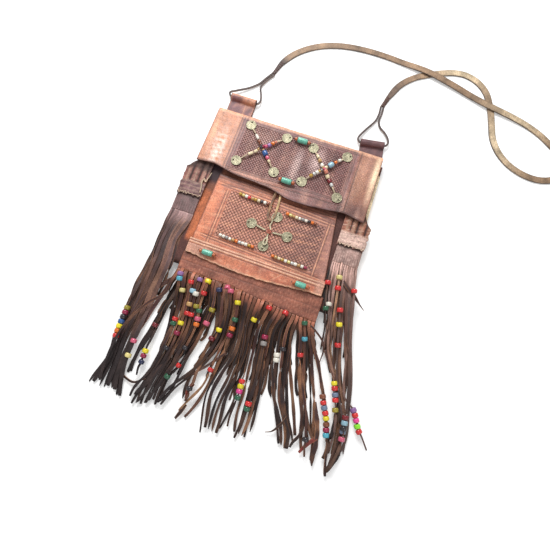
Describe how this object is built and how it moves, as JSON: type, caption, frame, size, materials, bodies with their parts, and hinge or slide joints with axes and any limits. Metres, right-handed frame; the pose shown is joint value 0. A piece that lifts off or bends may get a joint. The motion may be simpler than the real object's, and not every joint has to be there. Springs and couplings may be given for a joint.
{
  "type": "fringed_shoulder_bag",
  "caption": "A worn brown leather shoulder bag with a tooled flap, coins, bead strings, a long beaded fringe and a flat strap.",
  "frame": {"origin": "middle of the back panel's outer face, which lies on the ground plane", "axes": "+X the bag's right-hand side, +Y its top edge, +Z out of its front, away from the back face"},
  "size_m": [0.5406, 0.6268, 0.0335],
  "materials": {
    "flap_leather": "tooled, purplish brown with lighter worn ends, satin",
    "body_leather": "smooth orange-brown leather, worn",
    "front_leather": "tooled orange-brown leather with a raised border",
    "band_leather": "light orange leather, rough torn edge",
    "fringe_leather": "cut brown leather with tan edges",
    "side_leather": "grey-brown leather, matt",
    "dark_leather": "dark purple-brown leather",
    "strap_leather": "worn grey-brown leather, tan and cream in places",
    "coin_metal": "pale worn brass and nickel coins",
    "turquoise": "turquoise stone, glossy",
    "glass_beads": "glass beads of many colours, glossy"
  },
  "bodies": {
    "bag": {"back_panel": "body_leather", "band_stone_1": "turquoise", "band_stone_2": "turquoise", "bead_row_1": "glass_beads", "bead_row_2": "glass_beads", "bead_row_3": "glass_beads", "bead_row_4": "glass_beads", "bottom_band": "band_leather", "coin_stem_1": "strap_leather", "coin_stem_2": "strap_leather", "front_coin_1": "coin_metal", "front_coin_2": "coin_metal", "front_coin_3": "coin_metal", "front_coin_4": "coin_metal", "front_fringe": "fringe_leather", "front_knot": "front_leather", "lace_left": "dark_leather", "lace_right": "dark_leather", "left_fringe": "fringe_leather", "left_side_panel": "side_leather", "pouch_front": "body_leather", "right_fringe": "fringe_leather", "right_side_panel": "band_leather", "strap": "strap_leather", "tab_left": "dark_leather", "tab_right": "dark_leather", "tooled_front": "front_leather", "top_fold": "flap_leather", "under_fringe": "dark_leather"},
    "flap": {"closing_thong": "strap_leather", "flap": "flap_leather", "flap_coin_1": "coin_metal", "flap_coin_2": "coin_metal", "flap_coin_3": "coin_metal", "flap_coin_4": "coin_metal", "flap_coin_5": "coin_metal", "flap_coin_6": "coin_metal", "flap_coin_7": "coin_metal", "flap_coin_8": "coin_metal", "flap_stone_1": "turquoise", "flap_stone_2": "turquoise", "flap_string_1": "glass_beads", "flap_string_2": "glass_beads", "flap_string_3": "glass_beads", "flap_string_4": "glass_beads"}
  },
  "joints": [
    {"name": "flap_fold", "type": "hinge", "parent": "bag", "child": "flap", "pos_m": [0, 0.11615, 0.0216], "axis": [-1, 0, 0], "range_deg": [0, 165]}
  ]
}
